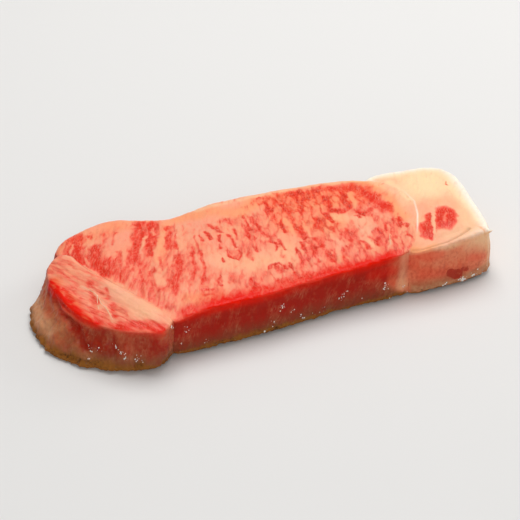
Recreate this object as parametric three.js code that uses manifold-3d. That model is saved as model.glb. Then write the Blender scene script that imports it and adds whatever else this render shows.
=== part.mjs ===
// A thick-cut marbled sirloin steak, raw on top and seared underneath, lying flat on its cooked face.
// It is one solid, joined from its three lobes: the eye, the tail behind a raised fat seam, and the fat end.
// Millimetres, +Z up, +X along the steak towards its fat end, -Y the trimmed long side.
// The origin is under the middle of the steak's bounding box, on the plane that it rests on.

import * as THREE from "three";
import { ImprovedNoise } from "three/addons/math/ImprovedNoise.js";
import { mergeVertices } from "three/addons/utils/BufferGeometryUtils.js";
import Module from "manifold-3d";

// Thickness of the cut
const THICKNESS = 22;
const FAT_END_RISE = 3.5; // the fat end stands prouder than the lean, because fat hardly shrinks
const FAT_END_FROM = 28;
const FAT_END_TO = 82;
const WAIST = { x: -36, y: 40, reach: 20, dip: 2 }; // the back edge sinks where the tail starts
const BACK_DROOP = 1.6; // the far left corner hangs a little
const CROWN = 0.9; // the lean swells between its edges

// The upper edge of each lobe, anticlockwise. Where a lobe runs into its neighbour, its edge is inside it.
const EYE_EDGE = [
  // hidden in the tail, then the long front side, where the lean was trimmed
  [-68, -36], [-57, -43], [-43, -41.5], [-28, -39.8], [-9, -38.5], [12, -35.2], [34, -32], [54, -30.8],
  // the round end under its membrane
  [62.5, -29.4], [68.4, -23.5], [73, -14.5], [77.8, -3], [80.4, 7.5], [79.4, 18], [74.4, 28],
  // the long back side, under its thin strip of fat
  [65, 36.4], [56, 41.2], [44, 44], [27, 45.8], [8, 45.6], [-11, 44.8], [-24, 42.8], [-36, 40.4], [-48, 42.6],
  [-61, 45.6], [-76, 43], [-88.4, 37.4], [-93.8, 30.2],
  // hidden in the tail
  [-92, 19.5], [-86, 10], [-79, -10],
];
const TAIL_EDGE = [
  // the corner, then along the fat seam to the notch at the back
  [-61.5, -50.2], [-55.8, -44.5], [-60, -34], [-66, -23], [-72.6, -12], [-79, -2], [-84.6, 8], [-89, 18.6],
  // round the tail
  [-94, 20.6], [-99.4, 17], [-102, 9], [-101.4, -1.5], [-98.8, -14.6], [-94.8, -24.6], [-89, -32.8],
  [-81, -40.4], [-71, -47],
];
const FAT_EDGE = [
  // the front side, then the end, cut square
  [65, -30.4], [73, -31.2], [84, -30.2], [99, -27.8], [105.6, -24.5], [108, -14], [109, 3], [109.6, 15],
  [109.6, 24.5], [106, 32.6],
  // the back side, standing out from the eye
  [97, 37.2], [84, 39], [74, 39.8], [66, 37.6],
  // hidden in the eye
  [59, 26], [56, 8], [56, -10], [59, -25],
];

// The side wall, from the upper edge down to the foot
const CUT_RADIUS = 2; // cut edges, on the front and on the right
const BACK_RADIUS = 4.2; // the fat strip rounds the back edge
const SEAM_RADIUS = 1.7;
const MEMBRANE_RADIUS = 1.3;
const FLARE = 1.6; // the foot stands out from the upper edge all round
const FLARE_CURVE = 1.25;
const BELLY = 0.7;
const FOOT_LEVEL = 0.1; // the seared rim at the foot, as a share of the wall
const FOOT_TUCK = 1.5; // it curls in under the foot
const TAIL_SKIRT = { x: -98, y: -17, reach: 28, out: 11.5 }; // the soft tail spreads at its foot
const TAIL_FAT_LUMP = { x: -103, y: -4, reach: 11, out: 2.8, level: 0.2, spread: 0.28 };
const TAIL_CORNER = { x: -58.5, y: -49, reach: 8.5, out: -5.5 }; // its corner stands upright over a furrow
const WALL_LEVELS = [1, 0.86, 0.7, 0.54, 0.39, 0.26, 0.16, 0.08, 0.03, 0];

// The fat seam between the tail and the eye: the tail's near edge is raised, and the eye dips in front of it
const SEAM_START = new THREE.Vector2(-89.5, 18);
const SEAM_END = new THREE.Vector2(-56, -43);
const SEAM_LIFT_START = 2.6;
const SEAM_LIFT_END = 0.9;
const SEAM_CREST_REACH = 8;
const SEAM_VALLEY = { depth: 1.5, away: 2.5, reach: 5.5 };
const TAIL_SLOPE = 0.1; // the tail falls away from the seam

// The fat end
const MEMBRANE_STEP = 0.9; // the outer fat stands this much lower than the eye's end
const MEMBRANE_BEAD = { x: 43, y: 4, radius: 33.6, reach: 2, height: 0.5 };
const LIP_START = new THREE.Vector2(68, -27.6);
const LIP_END = new THREE.Vector2(97, -20.5);
const LIP_GROOVE = 1.4;
const LIP_GROOVE_WIDTH = 2.1;
const MUSCLE_SPOTS = [
  { x: 88.5, y: -10.5, reach: 6.4, lift: 0.5 },
  { x: 77, y: -16.5, reach: 4.5, lift: 0.3 },
];

// A torn point of fat at the right corner, half sunk in the edge
const SCRAP = { x: 105.8, y: -24.6, below: 2, length: 5.4, radius: 2.3, lean: -3, sides: 10, rings: 3 };

// Uneven flesh: how large and how deep each pattern is, which layer of the noise it reads, and how fast it
// changes going up a wall
const TOP_SWELL = { size: 17, depth: 0.55, layer: 0 };
const TOP_RIPPLE = { size: 7, depth: 0.24, layer: 9 };
const WALL_BULGE = { size: 13, depth: 0.85, layer: 0, up: 0.5 };
const WALL_RIPPLE = { size: 5.5, depth: 0.34, layer: 0, up: 0.6 };
const TAIL_FOLD = { size: 9, depth: 1, layer: 0, up: 0.35 };
const RIM_FRILL = { size: 7, depth: 0.75, layer: 21 }; // the foot's edge lifts unevenly off the ground

// Mesh density: points round each lobe, and steps from its edge to its spine
const EYE_AROUND = 158;
const EYE_STEPS = [0.014, 0.035, 0.066, 0.11, 0.17, 0.25, 0.34, 0.44, 0.54, 0.65, 0.76, 0.88];
const END_AROUND = 70;
const END_STEPS = [0.035, 0.085, 0.16, 0.26, 0.38, 0.52, 0.66, 0.82];
const UNDER_STEPS = [0.08, 0.4];
const SPINE_SPACING = 4.5;

const noise = new ImprovedNoise();

function smoothstep(from, to, value) {
  const t = THREE.MathUtils.clamp((value - from) / (to - from), 0, 1);
  return t * t * (3 - 2 * t);
}

function bell(distance, reach) {
  return Math.exp(-((distance / reach) ** 2));
}

function bellAt(spot, x, y) {
  return bell(Math.hypot(x - spot.x, y - spot.y), spot.reach);
}

const NOISE_PLACE = new THREE.Vector3(37.3, 11.9, 5.1);

function uneven({ size, depth, layer, up = 0 }, x, y, z = 0) {
  const at = new THREE.Vector3(x, y, z * up + layer).divideScalar(size).add(NOISE_PLACE);
  return depth * noise.noise(at.x, at.y, at.z);
}

// How far a point lies from a line, positive on its right-hand side, and how far along it, from 0 to 1
function alongLine(start, end, x, y) {
  const run = end.clone().sub(start);
  const length = run.length();
  run.divideScalar(length);
  const dx = x - start.x;
  const dy = y - start.y;
  return { away: dx * run.y - dy * run.x, share: (dx * run.x + dy * run.y) / length };
}

// The height of the cut before the seam and the fat end are worked into it
function cutHeight(x, y) {
  const rise = FAT_END_RISE * smoothstep(FAT_END_FROM, FAT_END_TO, x);
  const waist = WAIST.dip * bellAt(WAIST, x, y);
  const droop = BACK_DROOP * smoothstep(-52, -92, x) * smoothstep(0, 36, y);
  return THICKNESS + rise - waist - droop + uneven(TOP_SWELL, x, y) + uneven(TOP_RIPPLE, x, y);
}

function eyeHeight(x, y) {
  const { away } = alongLine(SEAM_START, SEAM_END, x, y);
  const valley = SEAM_VALLEY.depth * bell(away + SEAM_VALLEY.away, SEAM_VALLEY.reach);
  const fromBead = Math.hypot(x - MEMBRANE_BEAD.x, y - MEMBRANE_BEAD.y) - MEMBRANE_BEAD.radius;
  const bead = MEMBRANE_BEAD.height * bell(fromBead, MEMBRANE_BEAD.reach) * smoothstep(58, 68, x);
  return cutHeight(x, y) - valley + bead;
}

function tailHeight(x, y) {
  const { away, share } = alongLine(SEAM_START, SEAM_END, x, y);
  const lift = THREE.MathUtils.lerp(SEAM_LIFT_START, SEAM_LIFT_END, THREE.MathUtils.clamp(share, 0, 1));
  return cutHeight(x, y) + lift * bell(away, SEAM_CREST_REACH) - TAIL_SLOPE * Math.max(0, away);
}

function fatHeight(x, y) {
  const { away, share } = alongLine(LIP_START, LIP_END, x, y);
  const fade = smoothstep(-0.15, 0.15, share) * (1 - smoothstep(0.8, 1.15, share));
  const groove = LIP_GROOVE * fade * bell(away, LIP_GROOVE_WIDTH);
  const spots = MUSCLE_SPOTS.reduce((sum, spot) => sum + spot.lift * bellAt(spot, x, y), 0);
  const step = MEMBRANE_STEP * (1 - smoothstep(78, 96, x));
  return cutHeight(x, y) - step - groove + spots;
}

// How far the wall stands out from the upper edge at a level, from 0 at the ground to 1 at the edge
function wallOut(x, y, level) {
  const skirt = TAIL_SKIRT.out * bellAt(TAIL_SKIRT, x, y) + TAIL_CORNER.out * bellAt(TAIL_CORNER, x, y);
  const foot = (FLARE + skirt) * (1 - level) ** FLARE_CURVE;
  const { out, spread, level: lumpLevel } = TAIL_FAT_LUMP;
  const lump = out * bellAt(TAIL_FAT_LUMP, x, y) * bell(level - lumpLevel, spread);
  const belly = BELLY * Math.sin(Math.PI * level);
  const z = level * THICKNESS;
  const fold = smoothstep(-60, -78, x) * uneven(TAIL_FOLD, x, y, z);
  const lumps = uneven(WALL_BULGE, x, y, z) + uneven(WALL_RIPPLE, x, y, z) + fold;
  const tuck = FOOT_TUCK * Math.max(0, 1 - level / FOOT_LEVEL) ** 2;
  return foot + lump + belly + (1 - level ** 3) * lumps - tuck;
}

const EYE = {
  around: EYE_AROUND,
  steps: EYE_STEPS,
  edge: EYE_EDGE,
  spine: [new THREE.Vector3(-66, 3, 0), new THREE.Vector3(48, 4, 0)],
  height: eyeHeight,
  radius: (x, y) => {
    const side = THREE.MathUtils.lerp(CUT_RADIUS, BACK_RADIUS, smoothstep(20, 36, y));
    return THREE.MathUtils.lerp(side, MEMBRANE_RADIUS, smoothstep(62, 74, x));
  },
};

const TAIL = {
  around: END_AROUND,
  steps: END_STEPS,
  edge: TAIL_EDGE,
  spine: [new THREE.Vector3(-89, 8, 0), new THREE.Vector3(-71, -28, 0)],
  height: tailHeight,
  radius: (x, y) => {
    const { away } = alongLine(SEAM_START, SEAM_END, x, y);
    return THREE.MathUtils.lerp(SEAM_RADIUS, CUT_RADIUS, smoothstep(1, 6, away));
  },
};

const FAT_END = {
  around: END_AROUND,
  steps: END_STEPS,
  edge: FAT_EDGE,
  spine: [new THREE.Vector3(82, -4, 0), new THREE.Vector3(84, 8, 0)],
  height: fatHeight,
  radius: (x, y) => THREE.MathUtils.lerp(CUT_RADIUS, BACK_RADIUS, smoothstep(12, 34, y)),
};

// The upper edge as evenly spaced points, each with its outward direction and the nearest point of the spine
function upperEdge({ edge, around, spine }) {
  const control = edge.map(([x, y]) => new THREE.Vector3(x, y, 0));
  const curve = new THREE.CatmullRomCurve3(control, true, "centripetal");
  const points = curve.getSpacedPoints(around).slice(0, around);
  const core = new THREE.Line3(...spine);
  return points.map((point, i) => {
    const before = points[(i + around - 1) % around];
    const after = points[(i + 1) % around];
    const outward = new THREE.Vector2(after.y - before.y, before.x - after.x).normalize();
    return { point, outward, core: core.closestPointToPoint(point, true, new THREE.Vector3()) };
  });
}

function wallRing(lobe, edge, level) {
  return edge.map(({ point: { x, y }, outward }) => {
    const out = wallOut(x, y, level);
    const top = lobe.height(x, y) - lobe.radius(x, y);
    const frill = (RIM_FRILL.depth / 2 + uneven(RIM_FRILL, x, y)) * bell(level, FOOT_LEVEL);
    return [x + outward.x * out, y + outward.y * out, level * top + Math.max(0, frill)];
  });
}

function topRing(lobe, edge, step) {
  return edge.map(({ point, core }) => {
    const inset = step * point.distanceTo(core);
    const { x, y } = point.clone().lerp(core, step);
    const radius = lobe.radius(point.x, point.y);
    const round = Math.max(0, 1 - inset / radius);
    const rollOff = radius * (1 - Math.sqrt(1 - round * round));
    return [x, y, lobe.height(x, y) - rollOff + CROWN * smoothstep(0, 0.8, step)];
  });
}

function underRing(edge, step) {
  return edge.map(({ point, outward, core }) => {
    const out = wallOut(point.x, point.y, 0);
    const x = point.x + outward.x * out;
    const y = point.y + outward.y * out;
    return [THREE.MathUtils.lerp(x, core.x, step), THREE.MathUtils.lerp(y, core.y, step), 0];
  });
}

// Joins the rings from the underside, up the wall and over the top, and closes both ends on the spine
function lobeGeometry(lobe) {
  const { around, spine } = lobe;
  const edge = upperEdge(lobe);
  const under = UNDER_STEPS.map((step) => underRing(edge, step)).reverse();
  const wall = WALL_LEVELS.map((level) => wallRing(lobe, edge, level)).reverse();
  const top = lobe.steps.map((step) => topRing(lobe, edge, step));
  const rings = [...under, ...wall, ...top];
  const vertices = rings.flat();
  const faces = [];
  for (let r = 0; r + 1 < rings.length; r++) {
    for (let i = 0; i < around; i++) {
      const next = (i + 1) % around;
      const [a, b] = [r * around + i, r * around + next];
      faces.push(a, b, b + around, a, b + around, a + around);
    }
  }

  const length = spine[0].distanceTo(spine[1]);
  const count = Math.max(1, Math.floor(length / SPINE_SPACING));
  const close = (ring, facingUp) => {
    const first = vertices.length;
    for (let k = 0; k <= count; k++) {
      const { x, y } = spine[0].clone().lerp(spine[1], k / count);
      vertices.push([x, y, facingUp ? lobe.height(x, y) + CROWN : 0]);
    }
    const coreOf = (i) => first + Math.round((edge[i].core.distanceTo(spine[0]) / length) * count);
    for (let i = 0; i < around; i++) {
      const next = (i + 1) % around;
      const [a, b, c, d] = [ring * around + i, ring * around + next, coreOf(next), coreOf(i)];
      const fan = c === d ? [[a, b, c]] : [[a, b, c], [a, c, d]];
      fan.forEach(([p, q, s]) => faces.push(p, facingUp ? q : s, facingUp ? s : q));
    }
  };
  close(0, false);
  close(rings.length - 1, true);

  const geometry = new THREE.BufferGeometry();
  geometry.setAttribute("position", new THREE.Float32BufferAttribute(vertices.flat(), 3));
  geometry.setIndex(faces);
  return geometry;
}

function scrapGeometry() {
  const cone = new THREE.ConeGeometry(SCRAP.radius, SCRAP.length, SCRAP.sides, SCRAP.rings);
  cone.rotateZ(-Math.PI / 2 + THREE.MathUtils.degToRad(SCRAP.lean));
  cone.translate(SCRAP.x, SCRAP.y, fatHeight(SCRAP.x, SCRAP.y) - SCRAP.below);
  return cone;
}

const wasm = await Module();
wasm.setup();

function toSolid(geometry) {
  geometry.deleteAttribute("normal");
  geometry.deleteAttribute("uv");
  const merged = mergeVertices(geometry, 1e-4);
  return new wasm.Manifold(
    new wasm.Mesh({
      numProp: 3,
      vertProperties: merged.attributes.position.array,
      triVerts: new Uint32Array(merged.index.array),
    }),
  );
}

function toGeometry(solid) {
  const mesh = solid.getMesh();
  const geometry = new THREE.BufferGeometry();
  geometry.setAttribute("position", new THREE.Float32BufferAttribute(mesh.vertProperties, 3));
  geometry.setIndex(new THREE.Uint32BufferAttribute(mesh.triVerts, 1));
  geometry.computeVertexNormals();
  return geometry;
}

// Puts the middle of the box over the origin and the underside on the plane of rest
function settle(geometry) {
  geometry.computeBoundingBox();
  const { min, max } = geometry.boundingBox;
  geometry.translate(-(min.x + max.x) / 2, -(min.y + max.y) / 2, -min.z);
  return geometry;
}

const marbledMeat = new THREE.MeshStandardMaterial({ color: 0xe6735a, roughness: 0.38, metalness: 0 });

const joined = [EYE, TAIL, FAT_END]
  .map((lobe) => toSolid(lobeGeometry(lobe)))
  .reduce((solid, lobe) => solid.add(lobe))
  .add(toSolid(scrapGeometry()));

const steak = new THREE.Mesh(settle(toGeometry(joined)), marbledMeat);
steak.name = "steak";

const model = new THREE.Group();
model.add(steak);

export default model;
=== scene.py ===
"""A thick-cut marbled sirloin steak, raw on top and seared underneath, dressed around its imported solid."""

import math
import random

import bpy
import numpy as np
from bpy.props import (
    FloatProperty,
    FloatVectorProperty,
    IntProperty,
    PointerProperty,
)
from mathutils import Matrix, Vector, noise
from mathutils.bvhtree import BVHTree
from mathutils.kdtree import KDTree


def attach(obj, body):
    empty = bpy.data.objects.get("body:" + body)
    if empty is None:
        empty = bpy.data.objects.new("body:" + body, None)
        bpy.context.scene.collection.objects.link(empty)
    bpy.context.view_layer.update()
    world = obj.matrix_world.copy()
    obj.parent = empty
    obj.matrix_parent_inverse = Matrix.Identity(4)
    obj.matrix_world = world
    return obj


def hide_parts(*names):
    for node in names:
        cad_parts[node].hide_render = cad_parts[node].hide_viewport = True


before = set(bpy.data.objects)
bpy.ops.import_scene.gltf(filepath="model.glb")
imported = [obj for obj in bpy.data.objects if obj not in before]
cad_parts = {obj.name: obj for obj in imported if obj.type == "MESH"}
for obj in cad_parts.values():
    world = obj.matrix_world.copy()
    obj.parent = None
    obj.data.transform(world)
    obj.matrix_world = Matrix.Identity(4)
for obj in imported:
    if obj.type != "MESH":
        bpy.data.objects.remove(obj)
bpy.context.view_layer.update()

bl_info = {
    "name": "Marbled Sirloin Steak",
    "version": (1, 0, 0),
    "blender": (4, 5, 0),
    "location": "3D View > Sidebar > Steak",
    "description": "Dresses the solid of a sirloin steak with marbled meat, melted fat, crumbs and membrane",
    "category": "Object",
}

CAD_NODE = "steak"
BODY = "root"
MEAT = "steak_meat"
BEADS = "melted_fat_beads"
CRUMBS = "crust_crumbs"
STRANDS = "membrane_strands"
FLOOR = "studio_floor"
MM = 0.001

# Fewer faces than this mean that the meat's mesh came out empty
FEWEST_FACES = 1000

# Height of the cut's edge above the floor, and how much higher it is at the fat end, in millimetres
EDGE_HEIGHT = 22
FAT_END_RISE = 3.5

# Lines on the cut, as (x, y) in millimetres
SEAM = (
    (-92, 23), (-89, 19.4), (-84, 9), (-78.5, -1), (-72, -11),
    (-65.5, -22), (-59.5, -33), (-55.5, -41.7), (-54, -48),
)
MEMBRANE = (
    (61, -32), (63, -28), (68.9, -22.2), (73.5, -13.2), (78.3, -1.7),
    (80.9, 8.9), (79.9, 19.4), (74.9, 29.4), (65.5, 37.8), (60, 41),
)
LIP = ((66, -27.4), (75, -27.2), (84, -26), (91, -24), (97, -20.6))
FAT_DROP = ((31.5, -19.5), (31, -23.5))
CRESCENT = ((49, 35.6), (56, 33.4), (60.6, 28), (65, 13), (66, 7))
TAIL_EDGE = ((-101, 5), (-98.8, -6), (-96, -15), (-93, -23), (-88.6, -31))

# How red the cut is along soft lines: the value in the middle, the width in millimetres, and the line.
# 0 is pure fat and 1 is pure lean. Later lines cover earlier ones.
LEAN_BASE = 0.5
TAIL_LEAN = 0.52
LEAN_LINES = (
    # broad areas
    (0.62, 26, (22, 30), (22, 12)),
    (0.55, 20, (8, 22), (4, 4)),
    (0.52, 26, (32, 4), (26, -14), (40, -16)),
    (0.75, 14, (30, 34), (46, 29), (56, 24)),
    (0.6, 16, (58, -10), (62, -20)),
    (0.62, 14, (-60, -2), (-60, -22)),
    (0.3, 20, (-26, 22), (-16, 14)),
    (0.46, 14, (-46, -34), (-30, -32), (0, -28), (30, -26), (52, -25)),
    (0.74, 7, (-50, -38), (-30, -35), (0, -32), (30, -29), (52, -28)),
    (0.12, 13, (-24, -2), (-14, -12), (8, -10)),
    (0.1, 8, (16, -6), (12, 2)),
    (0.08, 8, (-74, 41), (-60, 43), (-35, 39), (-10, 38), (4, 40)),
    (0.12, 8, (-28, 33), (-14, 32), (0, 31), (6, 30)),
    (0.1, 3.2, (4, 42), (20, 43.5), (44, 43), (58, 39), (66, 35)),
    (0.05, 8, (68, 34), (73, 24), (74.5, 10), (74, -2), (75, -6)),
    (0.05, 5, (75.6, 30), (78.4, 20), (79, 9), (77, -2)),
    (0.1, 7.5, (40, 11), (50, 5), (53, -1), (50, -10), (49.5, -22)),
    (0.1, 12, (-57, 42), (-60, 32), (-64, 21), (-68, 14), (-73, 7)),
    # the lean beside the seam
    (0.15, 8, (-78, 36), (-78, 18)),
    (1.2, 7.4, (-81, 36), (-84, 27), (-86, 21), (-82, 13), (-79, 8), (-76, 3)),
    (0.35, 1.6, (-84.5, 31), (-86.5, 26)),
    (0.3, 1.4, (-81, 18), (-80.5, 12)),
    (1.25, 6, (-75, 24), (-77, 18), (-76, 12), (-78.5, 7)),
    (0.8, 2, (-76, 35), (-75, 33)),
    (1, 6.5, (-71, 9), (-71, 3), (-68.5, -2), (-70, -5)),
    (1, 2.6, (-65.5, 15), (-67.5, 8)),
    (0.75, 1.5, (-63, 33), (-67, 23)),
    (0.7, 1.3, (-68.5, 34), (-70, 26)),
    (1, 2.6, (-61, 10), (-63, 5)),
    # the long bars at the back
    (1.15, 5.6, (-48.8, 39), (-52.2, 30), (-55.4, 21), (-58, 14), (-60, 8)),
    (1.2, 5.6, (-43, 38), (-46, 29), (-48, 20), (-51, 10)),
    (0.15, 1.6, (-50.5, 26), (-53, 18), (-55.5, 12)),
    (0.35, 1.3, (-44, 33), (-46, 26)),
    (0.1, 3.2, (-36, 39), (-41, 28), (-44, 19), (-48, 10), (-50, 3)),
    (1.1, 3.4, (-37, 31), (-40, 20), (-42.5, 11)),
    (1.2, 1.8, (-33.5, 28), (-36.5, 19), (-39.5, 10)),
    (0.1, 2.6, (-31, 35), (-34, 22), (-37, 9)),
    # the long streaks across the middle
    (1.2, 3, (-39, 4), (-42, -6), (-46, -14), (-50, -24)),
    (0.85, 4, (-44, -4), (-48, -13)),
    (1.15, 1.6, (-54, -2), (-56.5, -8)),
    (1.1, 1.6, (-58, 6), (-60, -4)),
    (0.9, 1.4, (-48.5, 5), (-50, -5)),
    (0.08, 3, (-53, -8), (-53, -20)),
    (1.15, 2.2, (-32, 8), (-33.5, 1), (-35, -6), (-37, -12), (-41, -20)),
    (1.5, 1.8, (-32.5, 4), (-33.5, -1)),
    (1.1, 1.4, (-28, 17), (-29, 4), (-30, -4), (-33, -15), (-35, -21)),
    (0.95, 3.6, (-62, -11), (-64, -19)),
    (0.95, 3.6, (-57.5, -12), (-60, -25)),
    (0.95, 2, (-65, -8), (-67.5, -15)),
    (0.7, 6, (-53, -21), (-55, -31)),
    (0.95, 1.4, (-32, -26), (-36, -25.5), (-36.5, -29), (-33, -30), (-32, -27)),
    # short dashes and rings in the middle
    (1.35, 1.5, (-18.7, 26), (-17.5, 21.5)),
    (0.85, 5, (-11, 26), (-8, 23)),
    (1, 2, (-16, 21), (-14.5, 16)),
    (1.4, 1.4, (-22.6, 20), (-21.4, 12)),
    (1.1, 1.2, (-25, 17), (-25.2, 12)),
    (1.5, 1.5, (-17, 13.5), (-18, 8.5)),
    (1.2, 1.2, (-19.6, 6.5), (-19, 4)),
    (1.35, 1.2, (-12.8, 13), (-12.6, 7), (-12, 2)),
    (0.65, 3.4, (-14.5, -1), (-14, -5)),
    (1.25, 1.1, (-16.6, 1), (-17.2, -3), (-14.5, -8), (-11.6, -4), (-12, 0)),
    (1.3, 1.2, (-21, -4.5), (-21, -7.5)),
    (1.15, 1.5, (-9, 16.5), (-9.4, 8)),
    (1.25, 1.3, (-0.8, 25), (-1.6, 14)),
    (1.2, 2, (2.4, 24), (3, 15)),
    (1.1, 1.6, (2.6, 12), (4, 5)),
    (0.9, 2.2, (-3.5, 14), (-4, 6)),
    (0.7, 2.4, (-7, 5), (-8, -10)),
    (1.2, 1.3, (-2.8, 0), (-3, -5)),
    (1.05, 1.6, (4, 1), (8.5, -1.5)),
    (1.2, 1.3, (6, -3), (4.6, -6.5)),
    (1.1, 1.4, (9, 2), (10, -7)),
    (0.85, 3.6, (1, -19), (2, -22)),
    (1.3, 1.2, (-2.6, -19), (-1, -16), (2.6, -15.6), (4.6, -18), (5, -21)),
    (1.25, 1.3, (8, -16.5), (8, -25)),
    (1.2, 1.1, (-25.6, -18), (-27.8, -20), (-28.4, -24), (-26, -25)),
    (0.75, 3.6, (-20, -18), (-22, -24)),
    (1.05, 2.6, (-13, -24), (-13, -32)),
    (0.08, 2.6, (-24.4, -19), (-25, -28)),
    # the right half
    (1, 2.6, (13, 35), (13, 20)),
    (1.35, 1.8, (14, 15), (13.5, 7)),
    (1.25, 2, (20, 30), (20.6, 14), (20.3, 0)),
    (0.95, 2.4, (25, 17), (22.5, 7)),
    (0.9, 2.6, (28.5, 27), (28, 19)),
    (0.95, 3, (34, 38), (32.5, 32)),
    (0.12, 2.4, (17.2, 17), (16.8, 0)),
    (0.12, 2.2, (25.5, 8), (24, 1)),
    (1.1, 2.4, (37, 16), (38.5, 8)),
    (0.95, 2.2, (32, 15), (31, 6)),
    (1.1, 1.8, (18.6, -3), (17.6, -18)),
    (1, 1.6, (14.6, -8), (14, -20)),
    (1.15, 1.4, (22.8, -8), (21.6, -20)),
    (1.05, 2.8, (26.6, -2), (27.5, -22)),
    (1, 3.8, (40.5, -1), (41.5, -9)),
    (0.1, 1.8, (34, -3), (35, -10)),
    (1, 1.8, (37, -13), (33.6, -20)),
    (1.25, 3, (46.4, -13), (47, -18)),
    (0.12, 2.6, (33.4, -12), (31, -23)),
    # the crescent round the end of the eye
    (1.2, 3.4, (28, 39), (38, 37.6), (47, 36.6)),
    (1.25, 5.6, (49, 35.6), (56, 33.4), (60.6, 28), (63.4, 20), (65, 13), (66, 7)),
    (1.1, 2.6, (57, 32), (58.4, 24)),
    (1.3, 3, (41.4, 30), (41.4, 21)),
    (1.3, 3, (42, 17.6), (46, 14), (50, 17)),
    (1.3, 3, (51, 31), (51, 20)),
    (0.12, 2.6, (54.6, 28), (53.6, 15)),
    (0.35, 4, (45.6, 27), (46, 21)),
    (1, 2.8, (56, 18), (53, 11), (55.6, 6.6), (58.6, 11)),
    (1.3, 1.2, (51, 8.6), (51.8, 6.6)),
    (1.3, 1.2, (58.6, 6.2), (58, 4.8)),
    # the freckled part before the membrane
    (0.42, 8, (64, -25), (67, -18), (71, -12)),
    (1.1, 4, (56, -7.6), (53.4, -12), (53, -17)),
    (1.2, 1.4, (60, -5), (60.6, -9)),
    (1.3, 1.2, (65.4, -1.2), (65, -3)),
    (1.2, 1.6, (69.6, -2), (67, -7)),
    (1.2, 1.2, (70, -7), (69.6, -10)),
    (0.9, 2, (62, -11), (61, -16)),
    (1, 1.4, (67, -16), (68.6, -19)),
    (0.7, 1.8, (60, -21), (62, -22)),
    (0, 1.1, (59.4, -13), (57, -20.5)),
    # the tail, raised behind the seam
    (0.02, 10.5, (-74, -10), (-70.5, -20), (-66, -32), (-61, -38)),
    (0.02, 4, (-89.6, 18.6), (-83, 8), (-77, -2)),
    (1, 3.2, (-86, -11.6), (-84.6, -18)),
    (0.85, 2.6, (-84.6, -4), (-85, -8)),
    (0.9, 2.4, (-78.6, -12), (-78.4, -17)),
    (1, 3, (-78, -23), (-79, -31)),
    (0.8, 3, (-87, -24), (-86, -30)),
    (0.12, 1.4, (-88.4, -5), (-84, -11), (-82, -17), (-83.4, -22)),
    (0.12, 1.4, (-82, -21), (-81, -33)),
    (0.12, 5, (-98.6, 6), (-97, -10), (-94.4, -20), (-91, -30)),
    (1, 2.6, (-96, -3), (-95, -12)),
    (1.15, 2.6, (-101.4, 4), (-100, -10), (-98.6, -20), (-95.6, -30)),
    (1.15, 5, (-78, -38), (-71, -40), (-66, -43), (-62, -47)),
    (0.1, 5, (-59, -38), (-56.6, -44)),
)
ISLET_LINES = (
    (0.4, 17, (90, -8), (80, -14)),
    (1.15, 4.2, (83.4, -4.6), (80.4, -10)),
    (1.45, 6.8, (79, -13), (77, -18.4)),
    (1.5, 9.8, (90.8, -5.6), (88.4, -12)),
    (0.75, 2, (88, -12.4), (89.4, -8.4), (91.6, -6.4)),
    (0, 1.6, (86.6, -1), (83.6, -9), (81, -16), (79.4, -23)),
    (0.85, 1.3, (102.8, 20.4), (101.6, 18)),
)
# The red spot low on the front of the fat end, as lines through (x, z)
RED_END_SPOT = (
    (1.7, 5.6, (83.8, 8.8), (86.6, 7.2)),
    (1.7, 5, (87, 7), (90.4, 6.6)),
    (1.6, 4.4, (89, 8.6), (92.6, 9)),
)

# The fat's tint on the cut, from 0, peach, to 1, ivory
CREAM_LINES = (
    (0.4, 50, (100, 30), (98, -20)),
    (1, 26, (98, 36), (92, 20)),
    (1, 10, (106, 30), (106, -14)),
    (0.4, 9, (88, 4), (96, 2)),
    (0.25, 6, (83, 3), (84, -2)),
    (0.6, 7, (99, -8), (98, -16)),
    (0.55, 7, (86, -23), (98, -23)),
    (0.85, 5, (76, 30), (79, 20), (79.6, 12)),
    (0.9, 9, (62, 42), (72, 38), (86, 38)),
    (0.5, 5, (70, 33), (75, 22), (76, 8)),
    (0.3, 9, (-74, -12), (-70, -22), (-64, -34)),
    (0.45, 4, (-20, 42), (0, 43), (30, 44), (50, 41.5), (62, 37)),
    (0, 14, (-60, 40), (-63, 20), (-70, 10)),
    (0.22, 14, (-24, -4), (-14, -12), (8, -10)),
    (0.3, 7, (42, 11), (51, 6), (50, -14)),
)
# Where the fat turns orange
WARM_LINES = (
    (1, 6, (-99, 4), (-97, -10), (-94.4, -20), (-91, -30)),
    (0.65, 9, (-30, 37), (-14, 36), (0, 30), (8, 37), (30, 38)),
    (0.75, 22, (22, 30), (40, 30), (54, 26)),
    (0.6, 20, (20, 14), (34, 8)),
    (0.8, 7, (60, 35), (68, 28), (71, 14), (70, -2)),
    (0.5, 10, (-88, 32), (-76, 34), (-62, 38)),
    (0.25, 7, (90, 4), (97, -2), (97, -14)),
    (0.6, 8, (-30, -31), (-44, -30)),
    (0.5, 6, (-37, 34), (-45, 16), (-50, 4)),
    (0.8, 5, (68, -27), (78, -28)),
)

# Under the tail's left edge, and lower down on its left side
TAIL_CREST = ((-102, 4, 19.5), (-99, -12, 19), (-96.6, -20, 17), (-94.6, -26, 14.5), (-92.6, -32, 11))
TAIL_SIDE = ((-103, 12, 16), (-103.6, 4, 14), (-103, -3, 13))

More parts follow.
